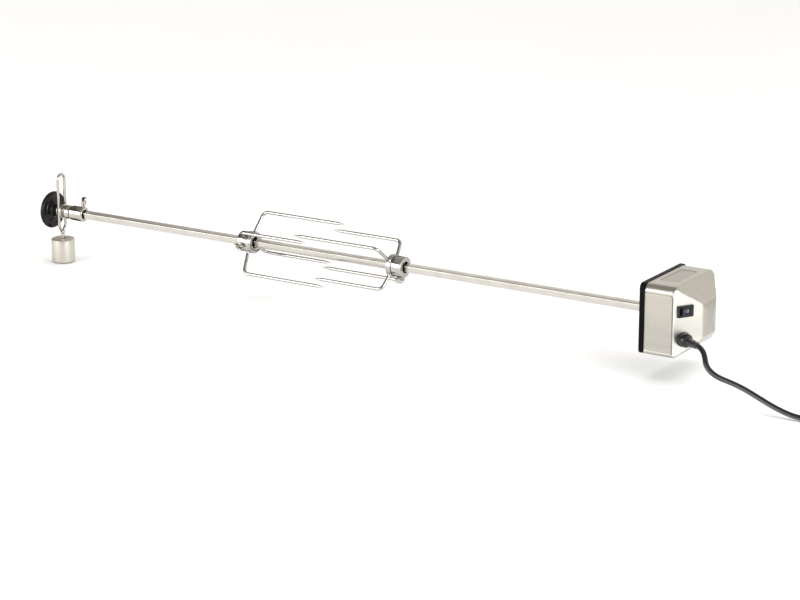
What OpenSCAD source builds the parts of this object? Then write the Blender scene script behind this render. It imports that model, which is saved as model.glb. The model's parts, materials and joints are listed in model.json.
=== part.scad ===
// Spit-roasting kit for a grill: a geared motor with its supply cord, a square spit bar,
// two meat forks, a grooved support bushing, a sliding counterweight and a grip knob.
// Origin: the spit axis at the motor's mounting face. +X points out of the grill through
// the motor, the spit runs towards -X, +Z is up.

/* [Spit bar] */
// Side of the square spit bar
bar_w = 9.525; // [8:0.005:9.6]
// Distance from the mounting face to the end of the square stretch
bar_reach = 957; // [900:1:1100]
// Turn of the bar about its own axis at rest
bar_turn = 15; // [0:1:45]
// Thread radius of the bar's round end
stud_r = 4; // [3:0.5:4.5]

/* [Motor housing] */
// Half the width of the cover
cover_hw = 57; // [56:0.5:60]
// Height of the cover above the spit axis
cover_top = 47.6; // [47:0.1:50]
// Depth of the cover below the spit axis
cover_bottom = 42.8; // [42:0.1:46]
// Length of the cover's straight sides
side_depth = 40; // [39:0.5:42]
// Length of the whole cover up to the edges of its outer panel
cover_depth = 62; // [60:0.5:64]
// Sheet thickness of the cover
sheet_t = 1; // [0.8:0.1:1.2]
// Radius of the cover's upper long edges
edge_r = 10; // [8:0.5:11]
// Thickness of the mounting plate
plate_t = 5.5; // [5:0.5:7]

/* [Forks] */
// Mounting face to the roots of the left fork's tines
fork_a_x = 630.5; // [568:0.5:688]
// Mounting face to the roots of the right fork's tines
fork_b_x = 397.5; // [372:0.5:442]
// Wire radius of the tines
tine_r = 2.25; // [2:0.05:2.5]
// Distance of the long tines from the spit axis
long_reach = 46; // [44:0.5:50]
// Distance of the short tines from the spit axis
short_reach = 37.5; // [34:0.5:40]
// Roots of the tines to the tips of the long ones
long_len = 137; // [118:1:143]
// Roots of the tines to the tips of the short ones
short_len = 111; // [98:1:118]

/* [Support bushing] */
// Mounting face to the bushing's inner end
bushing_x = 923.5; // [900:0.5:940]
// Radius of the bushing's body
bushing_r = 10.5; // [10:0.5:12]

/* [Counterweight] */
// Mounting face to the plane of the wire loop
loop_x = 965.8; // [965:0.1:967]
// Radius of the weight
weight_r = 17; // [12:0.5:20]
// Height of the weight
weight_h = 33.5; // [20:0.5:40]
// Wire radius of the loop
loop_wire_r = 2; // [1.5:0.1:2]
// Distance between the middles of the loop's legs
loop_gap = 14.6; // [14.6:0.1:16]

/* [Knob] */
// Radius of the knob's disc
knob_r = 27; // [20:0.5:32]

/* [Supply cord] */
// Diameter of the cord
cord_d = 7; // [6:0.5:7]

/* [Hidden] */
$fn = 48;

black = "#1c1c1e";
steel = "#b8b8b4";
bright = "#d4d4d2";
brass = "#b89a58";

gap = 0.05; // running clearance of a shaft in its hole

// Places along the motor's depth
inner_x = plate_t;
side_x = plate_t + side_depth;
end_x = plate_t + cover_depth;
outer_panel_y = 20.5; // half the width of the cover's outer panel
outer_panel_z = 23; // half the height of the outer panel
dome_rise = 4;
frame_t = 1.5;
frame_x0 = inner_x;
frame_x1 = 24;
frame_corners = [[-21, -27], [-21, 27], [49, 27], [49, -27]];
cover_screw_at = [[-20, 43.2], [20, 43.2], [-20, -38.4], [20, -38.4]];

// Mounting bolts
mount_y = 48;
mount_z = 36;
mount_r = 2.6;

// Gear train: module, tooth counts and the places of the gears across the motor
gear_m = 0.8;
pressure = 25;
backlash = 0.15;
teeth_out = 60;
teeth_second_small = 15;
teeth_second_big = 45;
teeth_first_small = 12;
teeth_first_big = 45;
teeth_rotor = 12;
dir_second = 20; // direction from the output gear to the second gear
dir_first = -80; // direction from the second gear to the first gear
dir_rotor = 178; // direction from the first gear to the rotor
second_at = polar((teeth_out + teeth_second_small) * gear_m / 2, dir_second);
first_at = second_at + polar((teeth_second_big + teeth_first_small) * gear_m / 2, dir_first);
rotor_at = first_at + polar((teeth_first_big + teeth_rotor) * gear_m / 2, dir_rotor);
out_gear_x = 9.5;
out_gear_w = 6;
second_gear_x = 16.2;
first_gear_x = 19.5;
wheel_w = 2.5;
pin_r = 2;

// Motor: stator stack and rotor
stack_x = 34;
stack_w = 13;
rotor_r = 13.1;
air_gap = 0.4;
stator_bolt_at = [for (s = [-1, 1]) rotor_at + [s * 16.5, -12.5]];

// Drive spindle and its square socket
spindle_r = 9.5;
socket_w = 9.9;
socket_end = 15;
bar_tip_x = 14.6;

// Slanted panel that carries the switch and the gland
panel_run = [end_x - side_x, cover_hw - outer_panel_y];
panel_len = norm(panel_run);
panel_angle = atan2(panel_run[1], panel_run[0]);
switch_s = 17.7; // along the slanted panel from its first edge
switch_z = 16.6;
switch_tilt = 11;
rocker_pivot = -2.5; // height of the rocker's pin against the panel
gland_s = 15.6;
gland_z = -19.2;
gland_out = 13; // how far the gland stands out of the panel
relief_len = 20;

// Forks and thumbscrews
fork_a_turn = 191; // direction of the left fork's thumbscrew
fork_b_turn = 274; // direction of the right fork's thumbscrew
bushing_turn = 75; // direction of the bushing's thumbscrew
fork_a_front = 8; // hub's tine end in front of the roots of the tines
fork_b_front = 4;
hub_len = 23;
hub_r = 14;
hub_ring_r = 15;
hub_bore_r = 8;
screw_r = 3;
bend_r = 8;
tine_lean = 8; // lean of a tine's radial leg towards its tip
tine_root_r = 11.5;
point_len = 10;
bend_over = 5; // angle by which a bend's wire runs on inside the straight wire at its ends
bend_thin = 0.1; // how much thinner the wire is in a bend
screw_s = 7.5; // thumbscrew behind the roots of the tines
bushing_screw_x = 928.5;
bushing_bore_r = 7.1;

// Counterweight loop
loop_top = 46.7; // centre of the loop's upper bend
loop_low = -20; // where the legs turn in
loop_join = -32; // where they meet the stem
knee_r = 5;
knee_angle = 36;
stem_r = 2.4;
weight_top = -40.8;
insert_r = 6;

// Support floor of the loose cord
floor_z = -75.5;
cord_r = cord_d / 2;
cord_z = floor_z + cord_r;
coil_at = [312, -50];
coil_mid_r = 40;
tie_t = 0.8;
tie_slack = 0.4; // room between the tie and the coil at its sides
coil_base = floor_z + tie_t;

// Route of the cord from the strain relief to its coil, and from the coil to the plug
cord_route = [[81.8, -60.7, -19.2], [88.7, -65.3, -20.3], [94.7, -70.2, -23.5], [99.3, -74.9, -28.6],
    [102.4, -78.8, -33.5], [108.2, -82.7, -38.8], [116.8, -85.9, -43], [126.9, -88.5, -45.6],
    [138.3, -91, -47.2], [150, -93.7, -48.8], [162, -96.6, -51.1], [174, -99.4, -54.2],
    [187, -102.1, -58.1], [200, -104.2, -62.2], [213, -105.6, -66], [226, -106.2, -69.2],
    [239, -106, -71.2], [252, -105, -71.9], [264, -103.4, -72], [276, -101.3, -72],
    [288, -99.1, -71.9], [300, -97.5, -71.5], [312, -97, -71.2]];
tail_route = [[312, -3, -64], [303, -3, -64], [295, -1.5, -64], [287, 0, -64], [279, 0, -64]];
plug_at = [279, 0, -64];

function polar(r, a) = [r * cos(a), r * sin(a)];
function unit(v) = v / norm(v);

// Points of one smooth curve through a route, with steps pieces in each stretch
function spline_at(a, b, c, d, t) =
    0.5 * (2 * b + t * (c - a) + t * t * (2 * a - 5 * b + 4 * c - d) + t * t * t * (3 * b - a - 3 * c + d));
function smooth_route(r, steps) = let (n = len(r)) [
    for (i = [0 : n - 2], k = [0 : steps - 1])
        spline_at(r[max(i - 1, 0)], r[i], r[i + 1], r[min(i + 2, n - 1)], k / steps),
    r[n - 1]];

// A closed tube of sides corners along the points of a route that is never vertical
module tube(pts, r, sides = 10) {
    n = len(pts);
    along = [for (i = [0 : n - 1]) unit(pts[min(i + 1, n - 1)] - pts[max(i - 1, 0)])];
    rings = [for (i = [0 : n - 1]) let (u = unit(cross(along[i], [0, 0, 1])), v = cross(u, along[i]))
        for (k = [0 : sides - 1]) pts[i] + r * cos(360 * k / sides) * u + r * sin(360 * k / sides) * v];
    walls = [for (i = [0 : n - 2], k = [0 : sides - 1]) let (m = (k + 1) % sides)
        [i * sides + k, i * sides + m, (i + 1) * sides + m, (i + 1) * sides + k]];
    first = [for (k = [0 : sides - 1]) sides - 1 - k];
    last = [for (k = [0 : sides - 1]) (n - 1) * sides + k];
    polyhedron(rings, concat([first], walls, [last]), convexity = 6);
}

// Stands a flat (y, z) outline up and runs it along +X from x
module along_x(x, w) translate([x, 0, 0]) rotate([90, 0, 90]) linear_extrude(w) children();
module round_x(x, w, r, at = [0, 0]) translate([x, at[0], at[1]]) rotate([0, 90, 0]) cylinder(h = w, r = r);
// A turned piece about the spit axis from a list of (x, radius) points
module turned(points) rotate([90, 0, 90]) rotate_extrude() polygon([for (p = points) [p[1], p[0]]]);
// Runs a flat (x, z) outline along Y from y
module along_y(y, w) translate([0, y + w, 0]) rotate([90, 0, 0]) linear_extrude(w) children();

// A flat outline with its corners rounded by exact arcs
module rounded(y0, y1, z0, z1, r) {
    translate([y0 + r, z0]) square([y1 - y0 - 2 * r, z1 - z0]);
    translate([y0, z0 + r]) square([y1 - y0, z1 - z0 - 2 * r]);
    for (y = [y0 + r, y1 - r], z = [z0 + r, z1 - r]) translate([y, z]) circle(r);
}

// Involute gear outline with 25 degree flanks and a little backlash
function roll(a) = tan(a) * 180 / PI - a;
function flank_angle(teeth, r) = let (rp = teeth * gear_m / 2, rb = rp * cos(pressure))
    90 / teeth - backlash / 4 / rp * 180 / PI + roll(pressure) - roll(acos(min(1, rb / r)));
function gear_points(teeth) = let (rp = teeth * gear_m / 2, rb = rp * cos(pressure),
        ra = rp + 0.8 * gear_m, rf = rp - 1.05 * gear_m, r0 = max(rb, rf),
        radii = [r0, (r0 + ra) / 2, ra])
    [for (t = [0 : teeth - 1]) let (mid = 360 * t / teeth) each concat(
        [polar(rf, mid - flank_angle(teeth, r0))],
        [for (r = radii) polar(r, mid - flank_angle(teeth, r))],
        [for (i = [2 : -1 : 0]) polar(radii[i], mid + flank_angle(teeth, radii[i]))],
        [polar(rf, mid + flank_angle(teeth, r0))])];
module gear_outline(teeth, turn) rotate(turn) polygon(gear_points(teeth));

// A screw thread drawn as plain rings, from z = 0 up
module thread(r, h, pitch) {
    n = floor(h / pitch);
    depth = pitch * 0.35;
    points = [for (i = [0 : n - 1]) each [[r - depth, i * pitch], [r, (i + 0.5) * pitch]]];
    rotate_extrude() polygon(concat([[0, 0]], points, [[r - depth, n * pitch], [r - depth, h], [0, h]]));
}

// Round-headed cross-recess screw, its head's underside at the origin and its shank down
module pan_screw(r, shank) {
    difference() {
        rotate_extrude() polygon([[0, -shank], [r * 0.8, -shank], [r, -shank + r * 0.4], [r, 0],
            [r * 1.9, 0], [r * 1.9, r * 0.5], [r * 1.5, r * 1.1], [r * 0.7, r * 1.35], [0, r * 1.4]]);
        for (a = [0, 90]) rotate(a) translate([-r, -r * 0.18, r * 0.8]) cube([r * 2, r * 0.36, r]);
    }
}

// ---- motor housing ----
module plate_outline(grow = 0) rounded(-59 - grow, 59 + grow, -cover_bottom, 48.4 + grow, 7);

module mounting_plate() color(black) difference() {
    along_x(0, plate_t) plate_outline();
    round_x(-1, plate_t + 2, 12);
    for (y = [-mount_y, mount_y], z = [-mount_z, mount_z]) round_x(-1, plate_t + 2, mount_r, [y, z]);
    for (p = cover_screw_at) {
        round_x(-1, plate_t + 2, 1.7, p);
        round_x(-1, 4, 3.6, p);
    }
    for (p = frame_corners) round_x(1.5, plate_t, 1.55, p);
}

module clinch_nuts() color(steel) for (y = [-mount_y, mount_y], z = [-mount_z, mount_z])
    difference() {
        round_x(plate_t, 4, 4.6, [y, z]);
        round_x(plate_t - 1, 6, mount_r, [y, z]);
    }

// Outline of the cover's cross-section, its upper corners rounder than its lower ones
module cover_outline(y, z0, z1, r_low, r_high) {
    translate([-y, z0 + r_low]) square([2 * y, z1 - z0 - r_low - r_high]);
    translate([r_low - y, z0]) square([2 * (y - r_low), r_low + 1]);
    translate([r_high - y, z1 - r_high - 1]) square([2 * (y - r_high), r_high + 1]);
    for (s = [-1, 1]) {
        translate([s * (y - r_low), z0 + r_low]) circle(r_low);
        translate([s * (y - r_high), z1 - r_high]) circle(r_high);
    }
}

// Prism that fills the space outside a slanted panel whose edges are at a and b in the
// (x, side) plane, the panel moved inwards by t; s is 1 or -1 for the side it is on
module slanted_cut(a, b, t, s) {
    d = unit(b - a);
    out = s * [-d[1], d[0]];
    p = a - out * t;
    linear_extrude(200, center = true)
        polygon([p - d * 80, p + d * 80, p + d * 80 + out * 90, p - d * 80 + out * 90]);
}

// Form of the cover set in by t: a round-edged bar cut back by four slanted panels and a dome
module cover_form(t) {
    dome_r = (pow(30, 2) + pow(dome_rise, 2)) / (2 * dome_rise);
    difference() {
        intersection() {
            along_x(inner_x - t, cover_depth + 9)
                cover_outline(cover_hw - t, t - cover_bottom, cover_top - t, 4 - t, edge_r - t);
            translate([end_x + dome_rise - t - dome_r, 0, 0]) sphere(dome_r, $fn = 96);
        }
        for (s = [-1, 1]) slanted_cut([side_x, s * cover_hw], [end_x, s * outer_panel_y], t, s);
        rotate([90, 0, 0]) {
            slanted_cut([side_x, cover_top], [end_x, outer_panel_z], t, 1);
            slanted_cut([side_x + 2, -cover_bottom], [end_x, -outer_panel_z], t, -1);
        }
    }
}

// Puts a piece on the slanted panel: +Z out of the panel, +X along it, +Y up
module on_panel(s, z) translate([side_x + s * cos(panel_angle), s * sin(panel_angle) - cover_hw, z])
    rotate([90, 0, panel_angle]) children();

module motor_cover() color(steel) difference() {
    union() {
        difference() {
            cover_form(0);
            cover_form(sheet_t);
        }
        for (p = cover_screw_at) round_x(inner_x, 10, 4, p);
    }
    for (p = cover_screw_at) round_x(inner_x - 1, 10, 1.65, p);
    on_panel(switch_s, switch_z) translate([-9.6, -6.55, -3]) cube([19.2, 13.1, 6]);
    on_panel(gland_s, gland_z) translate([0, 0, -3]) cylinder(h = 6, r = 6.3);
}

module cover_screws() color(steel) for (p = cover_screw_at)
    translate([3, p[0], p[1]]) rotate([0, -90, 0]) pan_screw(1.6, 10);

// ---- gear frame and train ----
module frame_outline() difference() {
    rounded(-26, 53.5, -31, 31, 5);
    for (p = frame_corners) translate(p) circle(1.6);
    translate(second_at) circle(pin_r);
    translate(first_at) circle(pin_r);
}

module gear_plate_front() color(steel) along_x(frame_x0, frame_t) difference() {
    frame_outline();
    circle(12);
}

module gear_plate_rear() color(steel) along_x(frame_x1, frame_t) difference() {
    frame_outline();
    circle(6 + gap);
    translate(rotor_at) circle(pin_r + gap);
    for (p = stator_bolt_at) translate(p) circle(1.55);
}

module gear_spacers() color(steel) for (p = frame_corners) difference() {
    round_x(frame_x0 + frame_t, frame_x1 - frame_x0 - frame_t, 3.2, p);
    round_x(frame_x0, frame_x1, 1.6, p);
}

module frame_screws() color(steel) for (p = frame_corners)
    translate([frame_x1 + frame_t, p[0], p[1]]) rotate([0, 90, 0]) pan_screw(1.5, 23);

module gear_pins() color(bright) for (p = [second_at, first_at])
    round_x(frame_x0, frame_x1 + frame_t - frame_x0, pin_r, p);

module spindle_bushing() color(brass) difference() {
    union() {
        round_x(0.5, 6.5, 12);
        round_x(7, 1.2, 14);
    }
    round_x(0, 10, spindle_r + gap);
}

module drive_spindle() color(steel) difference() {
    turned([[-3, 0], [-3, 8.7], [-2.2, spindle_r], [8.4, spindle_r], [8.4, 11], [9.5, 11],
        [9.5, spindle_r], [16.2, spindle_r], [16.2, 6], [26, 6], [26, 5.2], [27, 5.2], [27, 6],
        [28.2, 6], [28.8, 5.4], [28.8, 0]]);
    along_x(-4, socket_end + 4) rotate(bar_turn) square(socket_w, center = true);
}

module output_gear() color(steel) along_x(out_gear_x, out_gear_w) difference() {
    gear_outline(teeth_out, dir_second);
    circle(spindle_r);
    for (a = [0 : 60 : 300]) rotate(a) translate([16.5, 0]) circle(3.4);
}

module spindle_clip() color(steel) along_x(26.1, 0.8) difference() {
    circle(8.2);
    circle(5.25);
    rotate(90) translate([3, -2.2]) square([8, 4.4]);
}

module second_gear() color("ivory") translate([0, second_at[0], second_at[1]]) difference() {
    union() {
        along_x(out_gear_x, second_gear_x - out_gear_x)
            gear_outline(teeth_second_small, dir_second + 180 - 180 / teeth_second_small);
        along_x(second_gear_x, wheel_w) gear_outline(teeth_second_big, dir_first);
        round_x(7.3, 16.4, 3.2);
    }
    round_x(7, 18, pin_r + gap);
}

module first_gear() color("ivory") translate([0, first_at[0], first_at[1]]) difference() {
    union() {
        along_x(second_gear_x, first_gear_x - second_gear_x)
            gear_outline(teeth_first_small, dir_first + 180 - 180 / teeth_first_small);
        along_x(first_gear_x, wheel_w) gear_outline(teeth_first_big, dir_rotor);
        round_x(7.3, 16.4, 3.2);
    }
    round_x(7, 18, pin_r + gap);
}

// ---- motor ----
module rotor_shaft() color(bright) round_x(18.6, 40.8, pin_r, rotor_at);

module rotor_core() color("silver") difference() {
    round_x(stack_x, stack_w, rotor_r, rotor_at);
    round_x(stack_x - 1, stack_w + 2, pin_r, rotor_at);
}

module rotor_pinion() color(brass) translate([0, rotor_at[0], rotor_at[1]])
    along_x(19.2, 3.1) difference() {
        gear_outline(teeth_rotor, dir_rotor + 180 - 180 / teeth_rotor);
        circle(pin_r);
    }

module cooling_fan() color(black) translate([0, rotor_at[0], rotor_at[1]]) difference() {
    union() {
        round_x(54.6, 1, 12);
        round_x(54.6, 4.4, 4.4);
        for (a = [0 : 45 : 315]) along_x(55, 4) rotate(a) translate([4, -0.6]) square([7.6, 1.2]);
    }
    round_x(50, 12, pin_r);
}

module stator_core() color("dimgray") translate([0, rotor_at[0], rotor_at[1]])
    along_x(stack_x, stack_w) difference() {
        rounded(-20, 20, -17, 38, 2);
        circle(rotor_r + air_gap);
        translate([-12, 17]) square([24, 13]);
        for (s = [-1, 1]) {
            translate([s * 16.5, -12.5]) circle(1.7);
            rotate(s * 50) translate([-0.6, 12]) square([1.2, 5]);
        }
    }

module coil_bobbin() color("ivory") translate([0, rotor_at[0], rotor_at[1]]) difference() {
    union() {
        along_y(-12, 24) translate([stack_x - 1, 29]) square([stack_w + 2, 10]);
        for (y = [-12, 10.8]) along_y(y, 1.2) rounded(28, 53, 23, 45, 3);
    }
    along_y(-13, 26) translate([stack_x, 30]) square([stack_w, 8]);
}

module motor_coil() color("peru") translate([0, rotor_at[0], rotor_at[1]])
    along_y(-10.8, 21.6) difference() {
        rounded(29, 52, 24, 44, 4);
        translate([stack_x - 1, 29]) square([stack_w + 2, 10]);
    }

module stator_bolts() color(steel) for (p = stator_bolt_at) {
    translate([53.5, p[0], p[1]]) rotate([0, 90, 0]) pan_screw(1.5, 29.5);
    for (x = [[25.5, 8.5], [47, 5]]) difference() {
        round_x(x[0], x[1], 3, p);
        round_x(x[0] - 1, x[1] + 2, 1.6, p);
    }
}

module rotor_bracket() color(steel) translate([0, rotor_at[0], rotor_at[1]])
    along_x(52, 1.5) difference() {
        union() {
            rounded(-20, 20, -16, -9, 3);
            translate([-4, -10]) square([8, 10]);
            circle(6);
        }
        circle(pin_r + gap);
        for (s = [-1, 1]) translate([s * 16.5, -12.5]) circle(1.6);
    }

// ---- switch, wiring and cord ----
module switch_body() color(black) on_panel(switch_s, switch_z) difference() {
    union() {
        linear_extrude(2) rounded(-11.4, 11.4, -7.6, 7.6, 1.2);
        translate([-9.5, -6.45, -14]) cube([19, 12.9, 14.5]);
        for (x = [-5, 3]) translate([x, -0.4, -20]) cube([4, 0.8, 6.5]);
    }
    translate([-8.5, -5.25, -6.5]) cube([17, 10.5, 9]);
    translate([0, 0, rocker_pivot]) rotate([90, 0, 0]) cylinder(h = 12.4, r = 1.25, center = true);
}

module switch_rocker() color("#2c2c2e") on_panel(switch_s, switch_z)
    translate([0, 0, rocker_pivot]) rotate([0, switch_tilt, 0]) {
        along_y(-5.1, 10.2) polygon([[-7.4, 5.7], [-4.2, 4.7], [0, 4.4], [4.2, 4.7], [7.4, 5.7],
            [7.2, 1.5], [4.5, -1.6], [-4.5, -1.6], [-7.2, 1.5]]);
        rotate([90, 0, 0]) cylinder(h = 12.2, r = 1.2, center = true);
    }

module terminal_block() color("ivory") difference() {
    translate([inner_x, -42.5, -41]) cube([14, 16.5, 8.5]);
    for (y = [-40, -34.25, -28.5]) {
        translate([15, y, -36]) cylinder(h = 5, r = 1.6);
        translate([9, y, -36]) cylinder(h = 5, r = 1.9);
    }
}

module lead_wires() color("firebrick") {
    for (route = [
        [[41, -36, -18], [34, -37, -24], [24, -39, -28], [16, -40, -31], [15, -40, -34]],
        [[41, -33, -20], [34, -31, -22], [29, -31, -6], [33, -32, 8], [37, -34.5, 13]],
        [[15, -28.5, -34], [17, -29, -31], [30, -29, -24], [35, -23, -2], [38, -17, 18],
            [39, -12.5, 29.5], [40, -2.7, 30]]
    ]) tube(smooth_route(route, 3), 1.1, 8);
}

module cord_gland() color(black) on_panel(gland_s, gland_z) difference() {
    rotate_extrude() polygon([[0, -9], [6, -9], [6, 0], [9.7, 0], [9.7, 3], [8.9, 3.8], [8.4, 3.8],
        [8.4, 4.6], [8.9, 5.2], [8.9, 9], [7.2, 12.2], [6.2, gland_out], [0, gland_out]]);
    translate([0, 0, -10]) cylinder(h = 30, r = cord_r + gap);
}

module gland_nut() color(black) on_panel(gland_s, gland_z) translate([0, 0, -5]) difference() {
    cylinder(h = 4, r = 9.4, $fn = 6);
    translate([0, 0, -1]) cylinder(h = 6, r = 6 + gap);
}

module strain_relief() color(black) on_panel(gland_s, gland_z) difference() {
    rotate_extrude() polygon([[0, gland_out], [5.6, gland_out], [5.6, gland_out + 2],
        [4.4, gland_out + relief_len - 1], [4.1, gland_out + relief_len], [0, gland_out + relief_len]]);
    translate([0, 0, gland_out - 1]) cylinder(h = relief_len + 2, r = cord_r + gap);
    for (h = [4 : 4 : relief_len - 4]) translate([0, 0, gland_out + h]) difference() {
        cylinder(h = 1.4, r = 7);
        translate([0, 0, -1]) cylinder(h = 4, r = 4.3);
    }
}

function gland_point(h) = [side_x + gland_s * cos(panel_angle) + h * sin(panel_angle),
    gland_s * sin(panel_angle) - cover_hw - h * cos(panel_angle), gland_z];

module power_cord() color(black)
    tube(concat([for (h = [-11, 0, 13, 24]) gland_point(h)], smooth_route(cord_route, 2)), cord_r);

module cord_coil() color(black) translate([coil_at[0], coil_at[1], coil_base]) rotate_extrude()
    translate([coil_mid_r - 1.5 * cord_d, 0]) square([3 * cord_d, 2 * cord_d]);

module cord_tail() color(black) tube(smooth_route(tail_route, 1), cord_r);

module cord_tie() color("#303030") translate([coil_at[0], coil_at[1], coil_base])
    rotate(-30) translate([coil_mid_r, -4, cord_d]) rotate([90, 0, 180]) linear_extrude(8)
        difference() {
            square([3 * cord_d + 2 * (tie_slack + tie_t), 2 * (cord_d + tie_t)], center = true);
            square([3 * cord_d + 2 * tie_slack, 2 * cord_d], center = true);
        }

module plug_body() color(black) translate(plug_at) {
    rotate([0, -90, 0]) cylinder(h = 12, r1 = 4.6, r2 = 7);
    along_x(-42, 30) rounded(-12.5, 12.5, -11.5, 11.5, 6);
}

module plug_pins() color(brass) translate(plug_at) {
    for (y = [-6.35, 6.35]) translate([-59, y - 0.75, -0.5]) cube([17, 1.5, 6.3]);
    round_x(-61, 19, 2.4, [0, -7]);
}

// ---- spit ----
module bar_section(w) rotate(bar_turn) square(w, center = true);

module spit_bar() color(bright) {
    along_x(-bar_reach, bar_reach + bar_tip_x) bar_section(bar_w);
    translate([-bar_reach, 0, 0]) rotate([0, -90, 0]) thread(stud_r, 30, 1.25);
}

// Local frame on the spit axis at x: +Z points out in direction a, +X stays along X
module along_dir(a, x) translate([x, 0, 0]) rotate([a - 90, 0, 0]) children();

// Bend of a wire about the local Z axis, from the local X axis through an angle
module wire_bend(at_r, angle, wire_r) rotate(-bend_over) rotate_extrude(angle = angle + 2 * bend_over)
    translate([at_r, 0]) circle(wire_r - bend_thin);

// Spade-headed thumbscrew along +Z: tip of the shank, start of the head and top of the head
module thumbscrew(tip, neck, top, spin) {
    translate([0, 0, tip]) thread(screw_r, neck - tip, 1);
    rotate(spin) along_y(-2, 4) polygon([[-screw_r, neck - 1], [screw_r, neck - 1],
        [6.6, neck + 4], [6.6, top - 3], [4.2, top], [-4.2, top], [-6.6, top - 3], [-6.6, neck + 4]]);
}

module support_bushing() color(bright) difference() {
    turned([[-963.3, 0], [-963.3, 10.4], [-962.7, 11], [-961.2, 11], [-960.6, 10.4], [-960.6, 8.4],
        [-958.6, 8.4], [-957, 9.2], [-954, 9.8], [-951, 9.6], [-949, 8.8], [-947.6, 8.8],
        [-946, 9.6], [-945.2, bushing_r], [-bushing_x - 1.5, bushing_r],
        [-bushing_x, bushing_r - 1.5], [-bushing_x, 0]]);
    round_x(-964, 42, bushing_bore_r);
    along_dir(bushing_turn, -bushing_screw_x) cylinder(h = 20, r = screw_r + gap);
}

module bushing_thumbscrew() color(bright) along_dir(bushing_turn, -bushing_screw_x)
    thumbscrew(6.9, 15.5, 25, -25);

// Frame of a fork: the roots of its tines level with the origin and the tines along local +X
module fork_frame(x, flip) translate([-x, 0, 0]) mirror([flip, 0, 0]) children();

// One leg of a tine, from inside the hub to the start of the bend
function leg_len(reach) = (reach - bend_r * (1 - sin(tine_lean)) - tine_root_r) / cos(tine_lean);
module tine_leg(reach) translate([0, 0, tine_root_r]) rotate([0, tine_lean, 0])
    cylinder(h = leg_len(reach), r = tine_r);

// One pointed tine in the local XZ plane
module tine(reach, tip_x) {
    bend_x = leg_len(reach) * sin(tine_lean) + bend_r * cos(tine_lean);
    tine_leg(reach);
    translate([bend_x, 0, reach - bend_r]) rotate([90, 0, 0]) rotate(90)
        wire_bend(bend_r, 90 - tine_lean, tine_r);
    translate([bend_x, 0, reach]) rotate([0, 90, 0]) rotate_extrude() polygon([[0, 0], [tine_r, 0],
        [tine_r, tip_x - point_len - bend_x], [0.5, tip_x - bend_x], [0, tip_x - bend_x]]);
}

// Two tines opposite each other, the first in direction a
module tine_pair(a, reach, tip_x) for (turn = [a, a + 180]) along_dir(turn, 0) tine(reach, tip_x);

// Hub of a fork from its tine end at front; screw is the direction of its thumbscrew
module fork_hub(front, screw) difference() {
    turned([[front - hub_len, hub_bore_r], [front - hub_len, hub_r - 1.2], [front - hub_len + 1.2, hub_r],
        [-4, hub_r], [-4, 12.6], [-3, 12.6], [-3, hub_ring_r - 0.8], [-2.2, hub_ring_r],
        [front - 0.8, hub_ring_r], [front, hub_ring_r - 0.8], [front, hub_bore_r]]);
    along_dir(screw, -screw_s) cylinder(h = 20, r = screw_r + gap);
    for (turn = [45 : 90 : 315]) along_dir(screw + turn, 0) tine_leg(short_reach);
}

module fork_a_hub() color(bright) fork_frame(fork_a_x, 0) fork_hub(fork_a_front, fork_a_turn);
module fork_a_long_tines() color(bright) fork_frame(fork_a_x, 0)
    tine_pair(fork_a_turn + 45, long_reach, long_len);
module fork_a_short_tines() color(bright) fork_frame(fork_a_x, 0)
    tine_pair(fork_a_turn - 45, short_reach, short_len);
module fork_a_thumbscrew() color(bright) fork_frame(fork_a_x, 0)
    along_dir(fork_a_turn, -screw_s) thumbscrew(5.6, 16, 24, -50);

module fork_b_hub() color(bright) fork_frame(fork_b_x, 1) fork_hub(fork_b_front, fork_b_turn);
module fork_b_long_tines() color(bright) fork_frame(fork_b_x, 1)
    tine_pair(fork_b_turn + 45, long_reach, long_len);
module fork_b_short_tines() color(bright) fork_frame(fork_b_x, 1)
    tine_pair(fork_b_turn - 45, short_reach, short_len);
module fork_b_thumbscrew() color(bright) fork_frame(fork_b_x, 1)
    along_dir(fork_b_turn, -screw_s) thumbscrew(5.6, 16, 24, 0);

// ---- counterweight and knob ----
module clamp_washer() color(steel) difference() {
    round_x(-loop_x - loop_wire_r - 1.7, 1.5, 9);
    round_x(-loop_x - 6, 10, stud_r + 0.25);
}

// Bent wire loop that hangs on the bar's thread, with the stem that holds the weight
module weight_loop() color(bright) translate([-loop_x, 0, 0]) {
    half = loop_gap / 2;
    drop = norm([half - knee_r * (1 - cos(knee_angle)), loop_join - loop_low + knee_r * sin(knee_angle)]);
    translate([0, 0, loop_top]) rotate([90, 0, 90]) wire_bend(half, 180, loop_wire_r);
    for (s = [0, 1]) mirror([0, s, 0]) {
        translate([0, half, loop_low]) cylinder(h = loop_top - loop_low, r = loop_wire_r);
        translate([0, half - knee_r, loop_low]) rotate([90, 0, 90]) rotate(-knee_angle)
            wire_bend(knee_r, knee_angle, loop_wire_r);
        translate([0, half - knee_r * (1 - cos(knee_angle)), loop_low - knee_r * sin(knee_angle)])
            rotate([180 - knee_angle, 0, 0]) cylinder(h = drop, r = loop_wire_r);
    }
    translate([0, 0, loop_join]) sphere(stem_r + 1);
    translate([0, 0, weight_top - 14]) cylinder(h = loop_join - weight_top + 14, r = stem_r);
}

module counterweight() color(steel) translate([-loop_x, 0, weight_top]) difference() {
    rotate_extrude() polygon([[0, -weight_h], [weight_r - 0.8, -weight_h], [weight_r, 0.8 - weight_h],
        [weight_r, -0.8], [weight_r - 0.8, 0], [0, 0]]);
    translate([0, 0, -14]) cylinder(h = 20, r = stem_r);
}

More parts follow.
